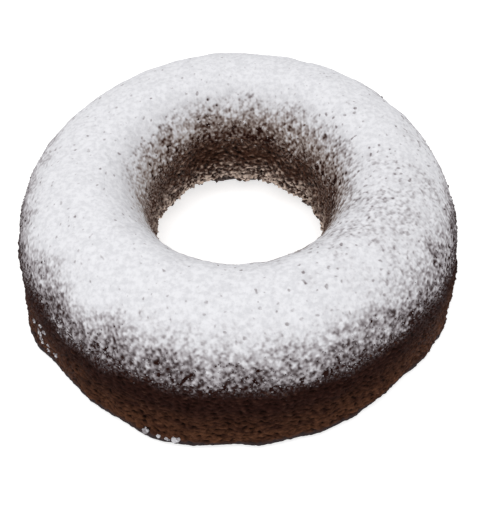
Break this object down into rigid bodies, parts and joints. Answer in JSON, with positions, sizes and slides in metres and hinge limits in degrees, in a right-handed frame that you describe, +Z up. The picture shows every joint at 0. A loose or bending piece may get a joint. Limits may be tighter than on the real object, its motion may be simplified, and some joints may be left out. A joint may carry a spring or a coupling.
{
  "type": "ring cake",
  "caption": "Whole dark ring cake turned out of a rounded ring tin, with a domed top, a flat base and a round hole through the middle.",
  "frame": {"origin": "middle of the cake's outline, on the surface that it stands on", "axes": "+Z up, along the hole's axis; +X to the right and -Y towards the viewer in the view it was modelled from"},
  "size_m": [0.24, 0.2424, 0.0704],
  "materials": {
    "crust": "matte",
    "icing_sugar": "matte"
  },
  "bodies": {
    "root": {"ring_cake": "crust"}
  },
  "joints": []
}
